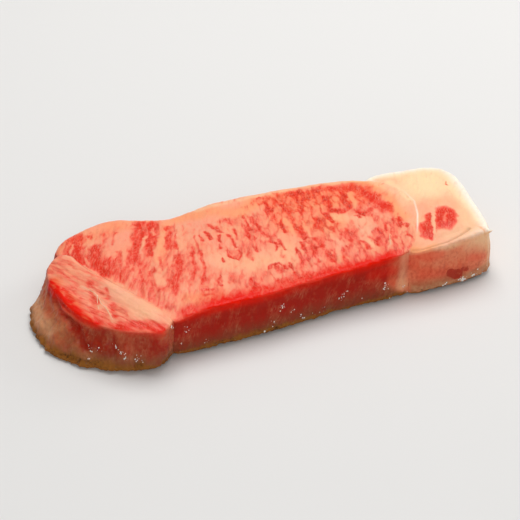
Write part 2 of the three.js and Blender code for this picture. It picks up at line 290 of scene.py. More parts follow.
# The walls along soft lines through (x, y, z): how fatty they are, from 0, lean, to 1, fat
WALL_FAT_LINES = (
    (0.4, 40, (-110, 20, 6), (-104, -20, 6)),
    (0.9, 14, (-108, 16, 9), (-108, 2, 7), (-106, -10, 8), (-103.6, -18, 8)),
    (0.65, 9, *TAIL_SIDE),
    (0.6, 8, (-101, -27, 5), (-95, -34, 4), (-86, -41, 3)),
    (0.08, 13, (-88, -34, 15), (-84, -39, 12)),
    (0.4, 7, (-80, -40, 18), (-77, -43, 14)),
    (0.12, 9, (-70, -46, 16), (-64, -49, 11)),
    (-0.3, 6.5, *TAIL_CREST),
    (0.12, 7, (44, -31, 12), (50, -31, 6)),
    (0.45, 8, (56, -30, 20), (56, -31, 14)),
    (0.7, 6, (54, -31, 10), (57, -31, 8)),
    (0.75, 6, (60.4, -29, 10), (60, -30.5, 5)),
    (0.55, 6, (60.4, -29, 23), (60.4, -29.5, 14)),
    (0.85, 6, (66, -29, 22), (79, -29.6, 20)),
    (0.75, 8, (70, -30.5, 11), (79, -30.5, 9)),
    (0.85, 6, (96, -28, 12), (103, -26, 12)),
    (1, 7, (92, -28, 22), (105, -25, 22)),
    (1, 6, (101, -27, 18), (106, -24, 18)),
)
# Where the walls are flushed
FLUSH_LINES = (
    (0.5, 6, (44, -30.8, 17), (54, -30.4, 17)),
    (0.45, 4.6, (67, -29, 21.4), (74, -29.6, 20), (79, -29.6, 20.6)),
    (0.3, 5, (62, -29, 21), (66, -30, 17)),
    (0.45, 4.4, (95, -28, 14), (103, -26, 12)),
    (0.25, 6, (70, -30.5, 12), (79, -30.5, 10)),
)
# How brown the heat has turned them
WALL_COOKED_LINES = (
    (0.85, 15, (-108, 16, 8), (-108, 2, 6), (-105, -14, 7), (-101, -24, 6)),
    (0.5, 9, *TAIL_SIDE),
    (0.2, 7, *TAIL_CREST),
    (0.4, 10, (-88, -34, 15), (-78, -41, 14)),
    (-0.4, 9, (64, -29, 20), (78, -30, 18), (92, -29, 17)),
    (0, 7, (60.4, -29, 23), (60, -30.5, 5)),
    (0, 6, (54, -31, 11), (57, -31, 9)),
    (-0.5, 9, (95, -28, 13), (106, -24, 14)),
    (0, 9, (107, -22, 19), (109, -18, 10)),
)
# How pale the fat on them is
WALL_CREAM_LINES = (
    (0.9, 4, (78, -29, 23), (90, -28, 24), (104, -25, 24)),
    (0.75, 9, (95, -28, 23), (104, -25, 21), (108, -18, 16)),
    (0.3, 5, (60.4, -29, 22), (60, -30, 15)),
    (0.5, 5, (60, -30, 13), (60, -30.5, 7)),
    (0.8, 6, (107, -22, 19), (109, -18, 10)),
    (0.55, 24, (-80, 40, 17), (-60, 44, 17), (0, 46, 17), (60, 40, 17)),
    (0.85, 22, (110, -16, 14), (110, 24, 14)),
    (0.85, 20, (104, 34, 14), (70, 40, 14)),
    (0.5, 4, (64, -31, 3), (80, -31, 2.6), (100, -27, 3)),
    (0.7, 9, (-108, 8, 7), (-109, -2, 5), (-105, -14, 6)),
)
# Folds and bulges of the tail's wall: the height in the middle, the width, and the line
WALL_FORMS = (
    (1, 8, (-109, 10, 4), (-109, 0, 4), (-107, -8, 7)),
    (-0.8, 3.5, (-104, -13, 10), (-107.6, -12, 4)),
    (1, 7, (-104, -19, 9), (-102, -22, 5)),
    (-0.7, 3.5, (-98, -27, 9), (-100, -29, 2)),
    (0.9, 7, (-97, -30, 6), (-94, -34, 4)),
    (-1.3, 4, (-101, -6, 17.5), (-98.6, -15, 17), (-96, -22, 14.5), (-94, -28, 11.5), (-92.4, -33, 7)),
    (1, 8, (-87, -38, 10), (-86, -40, 5)),
    (-0.8, 3.5, (-82, -39, 15), (-82, -42.6, 4)),
    (0.8, 8, (-77, -44, 9), (-76, -46, 5)),
    (-0.7, 3.5, (-73, -46, 12), (-73, -48, 3)),
    (0.8, 8, (-67, -49, 9), (-66, -50, 4)),
)

# Where beads of melted fat gather on the walls, in millimetres
BEAD_SPOTS = (
    (-92.8, -33.4, 8.6), (-91, -35, 8), (-88, -37, 9.6), (-81.7, -41, 11.4), (-79.5, -43, 10.4),
    (-78, -44.6, 8.6), (-77.5, -45.2, 6.6), (-72.3, -46.8, 9.6), (-72.9, -47, 6.6), (-94.1, -35.6, 4.3),
    (-56.7, -45, 20), (-49, -42, 14.6), (-39.8, -41.3, 5), (-52, -42, 7.4), (-11.8, -38.8, 3),
    (-6.9, -38.3, 6), (-2.2, -37.2, 14), (3, -36.7, 9), (8, -36, 5), (18, -34.4, 6.6),
    (28.3, -33, 8.7), (30.3, -32.7, 10.9), (51, -31.2, 10.4), (51, -31.3, 7.4), (61, -30.4, 6.5),
    (81, -30.6, 2), (91, -30, 2.4), (91.4, -30, 2.8), (97, -28.4, 2.6), (98.4, -28, 3),
    (102, -26.4, 3), (104.6, -24, 4),
)
BEAD_SPOT_REACH = 1.2
# Where beads and crumbs may lie: the lowest and highest points in millimetres, how far they may face down
# and up, and how deep a piece sinks in and how high its middle stays, as shares of its radius
BEAD_ZONE = ((1, 21), (-0.4, 0.6), 0.25, 1)
CRUMB_ZONE = ((0.6, 4.2), (-0.6, 0.7), 0.2, 1.3)
# Beads to the right of this x, at the foot of the fat end, are larger by this factor
LARGE_BEADS_FROM = 78
LARGE_BEAD_SCALE = 1.6

# Strands on the cut as (x, y), and down the left wall as (x, y, z), in millimetres
CUT_STRANDS = (
    (
        (-88, -5), (-85.4, -9), (-83, -13), (-82.6, -17),
        (-82.8, -20), (-81.4, -23), (-80.8, -28), (-80.4, -32),
    ),
    ((-83, -14), (-84.2, -18), (-84.6, -23)),
    ((59.4, -13), (58.4, -16), (57.2, -20)),
    ((84, -6), (81.4, -13), (79, -22)),
)
WALL_STRANDS = (
    ((-102.4, 9, 16), (-103.8, 8, 12.9), (-105.5, 7.8, 9.9), (-107.4, 6.1, 7.5)),
    ((-102.4, 4.6, 15.6), (-104.4, 3.1, 11.8), (-106.4, 1.6, 8.6)),
)

# The camera's sensor in millimetres, and the picture's width and the focal length in pixels. Then, in
# metres and watts, the floor, the sky, and each light's name, place, size, power and colour
SENSOR_WIDTH = 36
PICTURE_PIXELS = 520
FOCAL_PIXELS = 1680
FLOOR_SIZE = 6
FLOOR_DROP = 0.00008
SKY_STRENGTH = 0.3
LIGHTS = (
    ("Key", (0.25, 0.5, 1.3), 1.0, 15, (1, 0.98, 0.95)),
    ("Fill", (-0.35, -1.2, 0.6), 1.0, 5, (1, 0.99, 0.97)),
    ("Rim", (1.1, 0.35, 0.5), 0.6, 3, (1, 0.98, 0.95)),
)

# Each seed moves a noise on by this step, and from this start where there is one
NOISE_STEP = (7.31, 3.17, 5.53)
NOISE_START = (0.37, 0.71, 0.13)
SHADER_NOISE_STEP = (13.7, 7.9, 3.1)


def tint(red, green, blue):
    """The linear colour of a colour given in sRGB bytes."""
    shares = (byte / 255 for byte in (red, green, blue))
    return tuple(one / 12.92 if one <= 0.04045 else ((one + 0.055) / 1.055) ** 2.4 for one in shares)


def length(name, description, millimetres):
    """A size that shows in the units of the scene."""
    size = millimetres * MM
    return FloatProperty(name=name, description=description, default=size, subtype="DISTANCE", unit="LENGTH")


def angle(name, description, degrees):
    """A direction that shows in degrees."""
    turn = math.radians(degrees)
    return FloatProperty(name=name, description=description, default=turn, subtype="ANGLE", unit="ROTATION")


def colour(name, description, *srgb):
    """A colour of one of the finishes."""
    linear = tint(*srgb)
    return FloatVectorProperty(
        name=name, description=description, default=linear, subtype="COLOR", min=0, max=1
    )


class SteakSizes(bpy.types.PropertyGroup):
    """Sizes of the relief and of the small pieces."""

    voxel: length("Mesh size", "Spacing of the meat's mesh", 0.62)
    underside_share: FloatProperty(
        name="Underside",
        description="Share of the underside's faces that are kept",
        default=0.14,
        min=0.05,
        max=1,
        subtype="FACTOR",
    )
    fibre_depth: length("Fibre depth", "How deep the furrows of the side wall are", 0.3)
    fibre_width: length("Fibre width", "How far apart the furrows of the side wall are", 2.4)
    blister_depth: length("Blister depth", "How far the crust bulges at the foot", 0.75)
    blister_size: length("Blister size", "How large the blisters of the crust are", 2.8)
    grain_depth: length("Grain depth", "How deep the grain of the cut is", 0.16)
    membrane_height: length("Membrane height", "How far the membrane stands out of the cut", 0.3)
    bead_size: length("Bead size", "Radius of a large bead of melted fat", 0.66)
    bead_count: IntProperty(name="Beads", description="Number of beads of melted fat", default=230, min=0)
    crumb_size: length("Crumb size", "Radius of a large crumb of crust", 0.5)
    crumb_count: IntProperty(name="Crumbs", description="Number of crumbs of crust", default=360, min=0)
    strand_width: length("Strand width", "Thickness of a strand of membrane", 0.34)


class SteakColours(bpy.types.PropertyGroup):
    """Colours of the finishes."""

    fat: colour("Marbling", "Fat between the lean fibres", 249, 159, 130)
    warm_fat: colour("Warm fat", "Fat that has taken an orange tint", 252, 146, 86)
    ivory: colour("Ivory fat", "Thick fat of the fat end", 248, 218, 172)
    # Near-white fat, used for the painted highlight on the fat end's edges and along the membrane line
    highlight_white_fat: colour("White fat", "Fat at the outer edges of the fat end", 254, 244, 228)
    blush: colour("Blush", "Lean showing through thin fat", 248, 122, 94)
    lean: colour("Lean", "Bright lean meat", 232, 50, 30)
    pink_lean: colour("Pink lean", "Lean with fine fat in it", 245, 100, 80)
    warm_lean: colour("Warm lean", "Pink lean that has taken an orange tint", 246, 92, 54)
    deep_lean: colour("Deep lean", "Dark lean meat in the streaks", 192, 44, 18)
    hot_rim: colour("Wet edge", "Wet lean along the trimmed edge", 234, 24, 0)
    # Darker than the cut's lean: partly the wall's own colour, partly painted shade on the side walls
    wall_lean_and_shade: colour("Side lean", "Lean on the side wall", 166, 24, 2)
    wall_fat: colour("Side fat", "Fat on the side wall", 232, 106, 70)
    wall_cream: colour("Pale side fat", "Pale fat on the side wall", 244, 190, 144)
    cooked_lean: colour("Cooked lean", "Lean that has turned brown near the heat", 128, 68, 42)
    cooked_fat: colour("Cooked fat", "Fat that has turned golden near the heat", 170, 104, 66)
    gold_crust: colour("Golden crust", "Light parts of the seared crust", 150, 92, 34)
    dark_crust: colour("Dark crust", "Dark parts of the seared crust", 66, 32, 12)
    # Near-white, so that each bead of melted fat shows as a painted glint
    glinting_melted_fat: colour("Melted fat", "Clear beads of melted fat", 255, 238, 226)
    membrane: colour("Membrane", "Strands of membrane", 246, 206, 176)


class SteakStage(bpy.types.PropertyGroup):
    """The studio round the steak."""

    azimuth: angle("Azimuth", "Direction of the camera, from straight on", -18)
    elevation: angle("Elevation", "Height of the camera, from level", 35)
    distance: length("Distance", "From the camera to the steak", 800)
    aim: FloatVectorProperty(
        name="Aim",
        description="Point that the camera looks at",
        default=(0.00049, 0.00135, 0.012),
        subtype="TRANSLATION",
        unit="LENGTH",
    )
    focal_length: FloatProperty(
        name="Focal length",
        description="Focal length of the lens in millimetres",
        default=FOCAL_PIXELS / PICTURE_PIXELS * SENSOR_WIDTH,
    )
    offset: length("Offset", "How far the steak is right of and below the middle of the view", 0.95)
    floor_colour: colour("Floor", "Pale floor", 226, 226, 226)


# Numbers worked out for every point of the meat


def ramp(low, high, value):
    """0 below low, 1 above high, and smooth between them."""
    share = np.clip((value - low) / (high - low), 0, 1)
    return share * share * (3 - 2 * share)


def bell(value, reach):
    """1 where the value is 0, and fading to 0 beyond the reach."""
    return np.exp(-((value / reach) ** 2))


def unevenness(points, size, seed=0.0):
    """Smooth noise from about -1 to 1. Its size in millimetres is one number, or one along each axis."""
    shift = [seed * step + start for step, start in zip(NOISE_STEP, NOISE_START)]
    return np.array([noise.noise(point) for point in points / np.array(size) + shift])


def drift(points, size, seeds):
    """A different noise for each seed, side by side."""
    return np.stack([unevenness(points, size, seed) for seed in seeds], 1)


def to_line(points, line):
    """Distance from points to a line, and that distance with a minus sign on the line's right-hand side."""
    best = np.full(len(points), 1e9)
    side = np.zeros(len(points))
    for start, end in zip(line, line[1:]):
        start, end = np.array(start, float), np.array(end, float)
        run = end - start
        offset = points - start
        share = np.clip(offset @ run / (run @ run), 0, 1)
        away = offset - share[:, None] * run
        distance = np.linalg.norm(away, axis=1)
        cross = run[0] * offset[:, 1] - run[1] * offset[:, 0]
        nearer = distance < best
        best = np.where(nearer, distance, best)
        side = np.where(nearer, np.where(cross < 0, -distance, distance), side)
    return best, side


def paint(values, points, lines):
    """Pulls values towards each line's own value, most in its middle and not at all a full width away."""
    for value, width, *line in lines:
        near, _ = to_line(points, line)
        values = values + (value - values) * (1 - ramp(0.15 * width, 0.85 * width, near))
    return values


def set_values(mesh, name, values):
    """Stores a number or a vector at every point, for the finish to read."""
    kind, key = ("FLOAT", "value") if values.ndim == 1 else ("FLOAT_VECTOR", "vector")
    mesh.attributes.new(name, kind, "POINT").data.foreach_set(key, values.astype(np.float32).ravel())


def points_of(mesh):
    """The place of every point, in metres, and the way it faces."""
    found = []
    for name in ("co", "normal"):
        data = np.zeros(len(mesh.vertices) * 3, np.float32)
        mesh.vertices.foreach_get(name, data)
        found.append(data.reshape(-1, 3).astype(float))
    return found


class Flesh:
    """What is known of each point of the meat: its place, its facing, and how it is cut and cooked."""

    def __init__(self, mesh):
        place, self.facing = points_of(mesh)
        self.place = place / MM
        self.x, self.y, self.z = self.place.T
        self.plan = self.place[:, :2]
        self.height = EDGE_HEIGHT + FAT_END_RISE * ramp(28, 82, self.x)
        self.level = np.clip(self.z / self.height, 0, 1.1)
        self.cut = ramp(0.3, 0.72, self.facing[:, 2]) * ramp(0.7, 0.8, self.level)
        self.under = ramp(0.5, 0.8, -self.facing[:, 2]) * (self.z < 2)
        self.find_edge()
        self.find_zones()

    def find_edge(self):
        """How far each point of the cut lies from the edge, and which way the edge faces there."""
        walls = np.flatnonzero((self.facing[:, 2] < 0.35) & (self.level > 0.55))
        tree = KDTree(len(walls))
        for i in walls:
            tree.insert((self.x[i], self.y[i], 0), int(i))
        tree.balance()
        self.inset = np.zeros(len(self.x))
        self.front = np.clip(-self.facing[:, 1], 0, 1)
        self.right = np.clip(self.facing[:, 0], 0, 1)
        self.back = np.clip(self.facing[:, 1], 0, 1)
        for i in np.flatnonzero(self.cut > 0):
            _, nearest, distance = tree.find((self.x[i], self.y[i], 0))
            self.inset[i] = distance
            self.front[i] = max(0, -self.facing[nearest, 1])
            self.right[i] = max(0, self.facing[nearest, 0])
            self.back[i] = max(0, self.facing[nearest, 1])
        self.drop = np.where(self.cut > 0.5, 0, np.clip(0.93 - self.level, 0, 1) * self.height)

    def find_zones(self):
        """The lines that each point is near, and how much it belongs to the tail or the fat end."""
        self.seam, seam_side = to_line(self.plan, SEAM)
        self.membrane, membrane_side = to_line(self.plan, MEMBRANE)
        lip, _ = to_line(self.plan, LIP)
        self.lip = np.where(self.cut > 0.1, lip, 20)
        self.tail = ramp(-0.4, 0.4, -seam_side) * ramp(-50, -56, self.x)
        self.fat_end = ramp(-0.4, 0.4, -membrane_side) * ramp(56, 60, self.x)
        self.fat_wall = ramp(-7, 7, -membrane_side) * ramp(52, 66, self.x)

    def lean_share(self):
        """How red each point is, before the finest grain."""
        wobble = drift(self.place, (4.5, 7, 9), (1, 2))
        fine = drift(self.place, (1.9, 2.6, 4), (3, 4))
        plan = self.plan + wobble * (1.5, 1.2) + fine * (0.7, 0.8)
        base = LEAN_BASE + (TAIL_LEAN - LEAN_BASE) * self.tail
        top = base + (paint(base, plan, LEAN_LINES) - base) * 0.86
        top = top * (1 - 0.95 * self.back * bell(self.inset, 2.6) * ramp(-80, -72, self.x))
        edge = self.front * bell(self.inset, 5)
        top = top + (1 - top) * edge * ramp(-58, -48, self.x) * ramp(67, 56, self.x) * 0.9
        end = paint(0 * self.x, self.plan + fine * 0.9, ISLET_LINES)
        top = top + (end * ramp(0.2, 0.75, end) - top) * self.fat_end
        side_plan = np.stack([self.x, self.z], 1) + fine * (1.8, 1.4)
        side = 1 - 0.45 * self.tail - 0.8 * ramp(0.1, 0.5, self.facing[:, 1])
        side = side * (1 - self.fat_end)
        spot = paint(0 * self.x, side_plan, RED_END_SPOT) * self.front
        side = np.maximum(side, spot)
        return side + (top - side) * self.cut

    def cream_share(self):
        """How ivory the fat is."""
        moved = self.place + drift(self.place, 9, (5, 6, 7)) * 2
        top = paint(0.12 + 0 * self.x, moved[:, :2], CREAM_LINES)
        side = paint(0.15 * self.fat_wall, moved, WALL_CREAM_LINES)
        return np.clip(side + (top - side) * self.cut, 0, 1)

    def warm_share(self):
        """How orange the fat is."""
        plan = self.plan + drift(self.place, 9, (7, 8)) * 2
        return np.clip(paint(0.15 + 0 * self.x, plan, WARM_LINES), 0, 1)

    def wall_shares(self):
        """How fatty and how cooked each point of the walls is."""
        moved = self.place + drift(self.place, (5, 5, 8), (31, 32, 33)) * 1.6
        behind = ramp(0.1, 0.5, self.facing[:, 1]) * (1 - self.fat_end) * (1 - self.tail)
        fat = 0.35 * self.tail + 0.8 * self.fat_end + 0.8 * behind
        fat = paint(fat, moved, WALL_FAT_LINES)
        cooked = ramp(0.62, 0.12, self.level) * 0.85 + 0.3 * self.tail
        cooked = cooked - 0.45 * self.fat_wall * ramp(0.15, 0.5, self.level)
        cooked = paint(cooked, moved, WALL_COOKED_LINES)
        return np.clip(fat, 0, 1), np.clip(cooked, 0, 1)

    def grain(self):
        """The place along the grain of the cut, across it and up, in metres."""
        lean = (0.16 + 0.22 * np.clip((10 - self.x) / 60, 0, 1)) * (1 - self.tail) - 0.58 * self.tail
        lean = lean + 0.26 * ramp(50, 80, self.x)
        slope = (0.3 + 0.25 * ramp(-30, 30, self.x)) * (1 - self.tail) * (1 - self.fat_end) * (1 - self.cut)
        return np.stack([self.x - lean * self.y * self.cut - slope * self.z, self.y, self.z], 1) * MM

    def relief(self, sizes, lean):
        """How far the surface stands out at each point, in millimetres."""
        out = self.wall_relief(sizes) + self.cut * self.cut_relief(sizes, lean)
        ragged = bell(self.inset, 2.4) * ramp(0.05, 0.5, self.cut) * self.front
        tears = 0.4 * unevenness(self.place, (1.9, 1.9, 2.4), 17) + 0.35 * unevenness(self.place, 5, 20)
        out = out + ragged * tears
        dents = 0.35 * np.clip(unevenness(self.place, 3.2, 18) + 0.25, 0, 1)
        dents = dents + 0.3 * np.clip(unevenness(self.place, 7, 19), 0, 1)
        return out * (1 - self.under) - dents * self.under

    def wall_relief(self, sizes):
        """Fibres, lumps, folds and the blistered crust."""
        place = self.place
        side = (1 - ramp(0, 0.6, self.cut)) * (1 - self.under)
        width = sizes.fibre_width / MM
        fibres = unevenness(place, (width, width, 13), 11)
        fibres = fibres + 0.6 * unevenness(place, (width / 2, width / 2, 7), 12)
        lumps = unevenness(place, 5.5, 13)
        furrows = sizes.fibre_depth / MM * fibres * (0.5 + 0.5 * ramp(0.1, 0.35, self.level))
        crags = unevenness(place, (2.8, 2.8, 4), 35) + 0.6 * unevenness(place, 1.5, 36)
        rough = 0.22 + 0.28 * self.tail * ramp(0.95, 0.6, self.level) + 0.15 * ramp(0.5, 0.2, self.level)
        lumpy = 0.35 * lumps * (1 - 0.5 * self.fat_end)
        out = side * (furrows + lumpy + rough * crags * (1 - 0.6 * self.fat_end))
        forms = paint(0 * self.x, place + 0.9 * unevenness(place, 5, 34)[:, None], WALL_FORMS)
        out = out + side * forms * ramp(1.05, 0.8, self.level)
        foot = (1 - ramp(0.1, 0.3, self.level + 0.06 * lumps)) * side
        blisters = np.zeros(len(self.x))
        size = sizes.blister_size / MM
        for i in np.flatnonzero(foot > 0.01):
            near, _ = noise.voronoi(Vector(place[i] / size))
            blisters[i] = 0.55 - near[0]
        return out + foot * sizes.blister_depth / MM * blisters * 1.6

    def cut_relief(self, sizes, lean):
        """The grain, which is lower where it is lean, with the seam, the membrane, the lip and the rim."""
        grain = self.grain() / MM
        coarse = unevenness(grain, (2.6, 8, 6), 14)
        fine = unevenness(grain, (1.5, 3.5, 3), 15)
        top = sizes.grain_depth / MM * (0.9 * coarse - 1.1 * np.clip(lean, 0, 1.1) + 0.7 * fine)
        threads = unevenness(grain, (1.4, 11, 8), 16) * self.tail * (0.12 + 0.18 * np.clip(lean * 2, 0, 1))
        crease = -0.5 * bell(self.seam, 1.3) * ramp(-24, -8, self.y) * ramp(24, 18, self.y)
        line = sizes.membrane_height / MM * bell(self.membrane, 0.75) * ramp(24, 8, self.y)
        lip = -0.7 * bell(self.lip, 0.9)
        rim = 0.35 * self.fat_end * bell(self.inset - 1.6, 1.3) * (self.right + self.back)
        drop = 0.5 * (1 - ramp(0.3, 1.7, to_line(self.plan, FAT_DROP)[0]))
        return top + threads + crease + line + lip + rim + drop

    def rim_share(self):
        """The wet red edge: strongest left of the middle and before the membrane, then on the tail's left."""
        x = self.x
        strong = 0.75 + 0.6 * bell(x + 24, 14) + 0.5 * bell(x - 46, 14)
        along = ramp(-57, -47, x) * ramp(62, 52, x) + 0.9 * ramp(-58, -62, x) * ramp(-88, -80, x)
        reach = 5.4 + 2 * bell(x + 24, 18) + bell(x - 46, 12) + 3 * unevenness(self.place, (7, 7, 9), 21)
        across = bell(self.inset, reach) * self.cut + 0.8 * bell(self.drop, 2) * (1 - self.cut)
        tail_edge, _ = to_line(self.plan, TAIL_EDGE)
        left = bell(tail_edge, 3 + unevenness(self.place, 5, 22)) * ramp(-2, 1, self.z - 0.8 * self.height)
        flush = paint(0 * x, self.place, FLUSH_LINES) * self.front * (1 - self.cut)
        return np.maximum(self.front**2 * along * strong * across, np.maximum(left, flush))

    def highlight_and_band_share(self, band):
        """Painted rim highlight on the fat end's right- and back-facing edges, a painted highlight line along
        the back of the cut, and the membrane's own pale band.
        """
        # Painted rim highlight: the fat end's cut and upper walls turn whiter where they face right and back
        outer = 1.5 * self.fat_end * bell(self.inset, 4) * self.cut
        outer = outer + self.fat_wall * (1.5 * bell(self.drop, 7) + 0.25) * (1 - self.cut)
        outward = np.maximum(self.right, self.back)
        # Painted highlight along the back edge of the cut
        back_edge_highlight = ramp(-36, -24, self.x) * self.back * bell(self.inset, 1.4) * self.cut * 0.9
        return np.clip(outer * outward + back_edge_highlight + 0.4 * band, 0, 1)

    def sear_share(self):
        """The crust at the foot and underneath."""
        tall = 0.24 + 0.12 * bell(self.x + 18, 26) * self.front + 0.14 * self.tail - 0.08 * self.fat_end
        tall = tall + (0.08 + 0.1 * self.tail) * unevenness(self.place, (6, 6, 8), 37)
        return np.clip(ramp(1, 0.1, self.level / tall) * (1 - 0.3 * self.fat_end) + self.under, 0, 1)

    def finish_values(self, lean):
        """Everything that the finish reads, by name."""
        fat_side, cooked = self.wall_shares()
        crescent, _ = to_line(self.plan, CRESCENT)
        even = (1 - 0.8 * self.fat_end) * (1 - 0.6 * bell(crescent, 6))
        band_width = 1.6 + 1.8 * ramp(20, 7, self.z)
        band = bell(self.x - 60.5, band_width) * self.front * (1 - self.cut) * 0.4
        return {
            "lean": lean,
            "cream": self.cream_share(),
            "warm": self.warm_share(),
            "cut": self.cut,
            "under": self.under,
            "membrane": self.membrane,
            # Where the white membrane line shows: the membrane's own colour, partly a painted highlight
            "membrane_line_and_highlight_share": ramp(26, 0, self.y) * ramp(-18, -9, self.y),
            "lip": self.lip,
            "calm": np.maximum(bell(crescent, 5), self.fat_end),
            "net_share": (0.35 + 0.65 * ramp(-24, 14, self.x)) * even,
            "grain": self.grain(),
            "rim": self.rim_share(),
            "highlight_and_band": self.highlight_and_band_share(band),
            "fat_side": np.clip(fat_side + 0.4 * band, 0, 1),
            "cooked": cooked,
            "sear": self.sear_share(),
        }


# Shader sums


class Wire:
    """A number, vector or colour in a material. Sums on it add Math nodes."""

    def __init__(self, finish, socket):
        self.finish = finish
        self.socket = socket

    def sum(self, operation, *values):
        return self.finish.node("Math", {"operation": operation}, dict(enumerate(values)))

    def __add__(self, other):
        return self.sum("ADD", self, other)

    def __radd__(self, other):
        return self.sum("ADD", other, self)

    def __sub__(self, other):
        return self.sum("SUBTRACT", self, other)

    def __rsub__(self, other):
        return self.sum("SUBTRACT", other, self)

    def __mul__(self, other):
        return self.sum("MULTIPLY", self, other)

    def __rmul__(self, other):
        return self.sum("MULTIPLY", other, self)

    def clamp(self):
        return self.finish.node("Clamp", {}, {"Value": self})

    def smooth(self, low, high):
        """0 below low, 1 above high, and smooth between them."""
        limits = {"Value": self, "From Min": low, "From Max": high}
        return self.finish.node("MapRange", {"interpolation_type": "SMOOTHSTEP"}, limits)


class Finish:
    """A procedural material under construction."""

    def __init__(self, name):
        self.material = bpy.data.materials.new(name)
        self.material.use_nodes = True
        self.tree = self.material.node_tree
        self.shader = self.tree.nodes["Principled BSDF"]
        self.place = self.node("TexCoord", {}, {}, "Object")

    def node(self, kind, settings, inputs, output=0):
        """Adds a node: its settings first, then the value or wire of each socket."""
        made = self.tree.nodes.new("ShaderNode" + kind)
        for name, value in settings.items():
            setattr(made, name, value)
        for name, value in inputs.items():
            self.connect(made.inputs[name], value)
        return Wire(self, made.outputs[output])

    def connect(self, socket, value):
        if isinstance(value, Wire):
            self.tree.links.new(value.socket, socket)
        elif socket.type == "RGBA":
            socket.default_value = (*value, 1) if len(value) == 3 else value
        else:
            socket.default_value = value

    def attribute(self, name, output="Fac"):
        return self.node("Attribute", {"attribute_name": name}, {}, output)

    def multiply_add(self, first, second, third):
        return self.node("VectorMath", {"operation": "MULTIPLY_ADD"}, {0: first, 1: second, 2: third})

    def spread(self, where, size, seed):
        """A place divided by a size in millimetres and moved on by a seed."""
        size = size if isinstance(size, tuple) else (size, size, size)
        scale = tuple(1 / (one * MM) for one in size)
        shift = tuple(seed * step for step in SHADER_NOISE_STEP)
        return self.multiply_add(where, scale, shift)

    def noise(self, where, size, seed=0, detail=2.0, roughness=0.5, distortion=0.0, output="Fac"):
        inputs = {
            "Vector": self.spread(where, size, seed),
            "Scale": 1.0,
            "Detail": detail,
            "Roughness": roughness,
            "Distortion": distortion,
        }
        return self.node("TexNoise", {}, inputs, output)

    def cell_edges(self, where, size, seed, sway):
        """Distance to the edges of wandering cells. They sway by up to half as many millimetres as given."""
        wander = self.noise(where, size, seed + 1, 1.5, output="Color")
        moved = self.multiply_add(wander, (sway * MM,) * 3, where)
        inputs = {"Vector": self.spread(moved, size, seed), "Scale": 1.0}
        return self.node("TexVoronoi", {"feature": "DISTANCE_TO_EDGE"}, inputs, "Distance")

    def ridges(self, where, size, seed, low):
        """Thin wandering lines."""
        wave = self.noise(where, size, seed, 1.5)
        return (1 - (wave * 2 - 1).sum("ABSOLUTE", wave * 2 - 1) * 2.2).smooth(low, 1.0)

    def mix(self, share, first, second):
        """The first colour at share 0 and the second at share 1."""
        return self.node("Mix", {"data_type": "RGBA"}, {0: share, 6: first, 7: second}, 2)

    def bump(self, height, millimetres):
        return self.node("Bump", {}, {"Height": height, "Distance": millimetres * MM, "Strength": 1.0})

    def finish(self, **values):
        """Sets the shader's sockets, named with underscores for spaces."""
        for name, value in values.items():
            self.connect(self.shader.inputs[name.replace("_", " ")], value)
        return self.material


